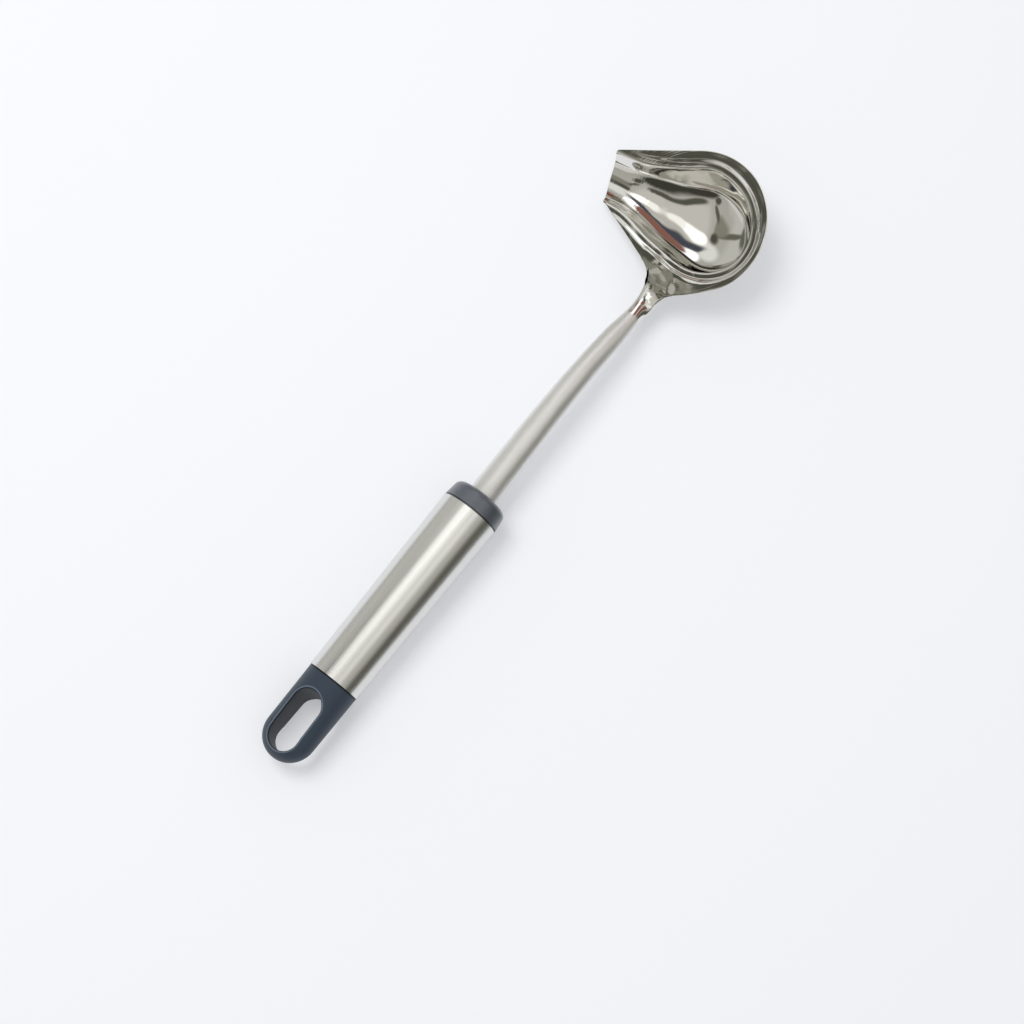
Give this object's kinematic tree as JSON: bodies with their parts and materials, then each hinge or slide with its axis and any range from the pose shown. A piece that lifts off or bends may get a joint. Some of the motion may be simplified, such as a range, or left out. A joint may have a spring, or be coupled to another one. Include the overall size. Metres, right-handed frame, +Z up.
{
  "type": "ladle",
  "caption": "Steel sauce ladle with a stepped rim, a side spout, a rolled shank and a tubular handle with a slotted hanging cap.",
  "frame": {"origin": "centre of the bounding box, at table height", "axes": "+X along the handle towards the bowl, +Y towards the spout, +Z up; lying as it comes to rest, the tube's back edge, the bowl's bottom and the lip of the spout on the table"},
  "size_m": [0.321, 0.0806, 0.0345],
  "materials": {
    "polished_steel": "mirror polish on the bowl and neck, satin along the shank",
    "satin_steel": "satin, brushed lengthways",
    "grey_plastic": "smooth satin moulding"
  },
  "bodies": {
    "root": {"bowl_and_shank": "polished_steel", "collar": "grey_plastic", "handle_tube": "satin_steel", "end_cap": "grey_plastic"}
  },
  "joints": []
}
